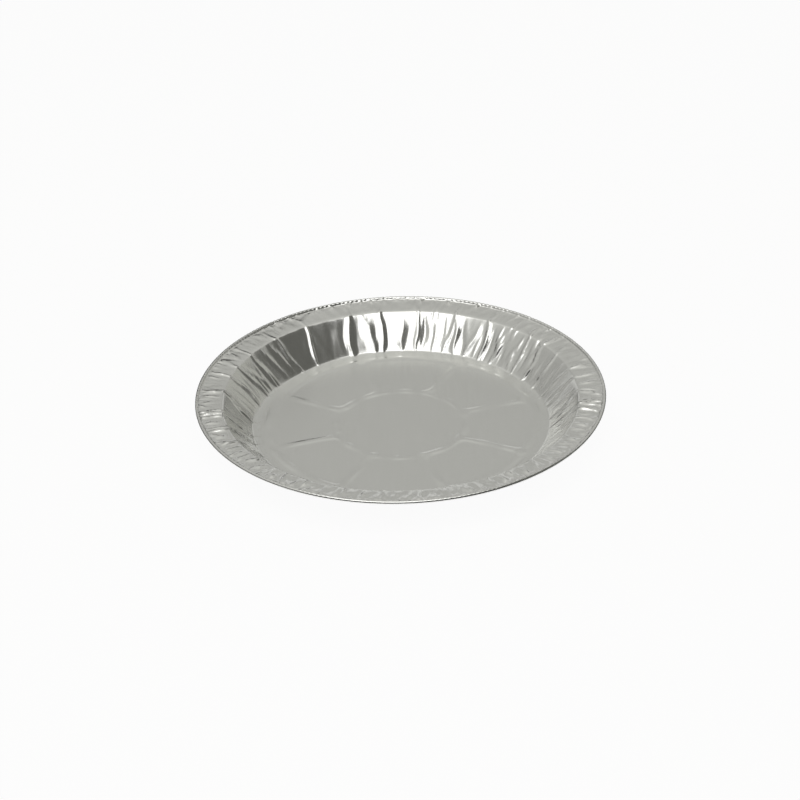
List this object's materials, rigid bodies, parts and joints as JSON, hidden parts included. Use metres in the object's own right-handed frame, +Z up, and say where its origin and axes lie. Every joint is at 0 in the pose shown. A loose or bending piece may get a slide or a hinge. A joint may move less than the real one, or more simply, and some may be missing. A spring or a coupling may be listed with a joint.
{
  "type": "foil pie tin",
  "caption": "Shallow round foil pie tin with a wheel pattern pressed into its floor, a pleated sloping wall, a flat flange and a rolled rim.",
  "frame": {"origin": "centre of the floor's underside, on the surface that the tin stands on", "axes": "+Z up out of the tin's mouth, +Y to the back and +X to the right as the picture shows it"},
  "size_m": [0.228, 0.228, 0.0201],
  "materials": {
    "foil": "bright rolled foil, lightly creased"
  },
  "bodies": {
    "root": {"pie_tin": "foil"}
  },
  "joints": []
}
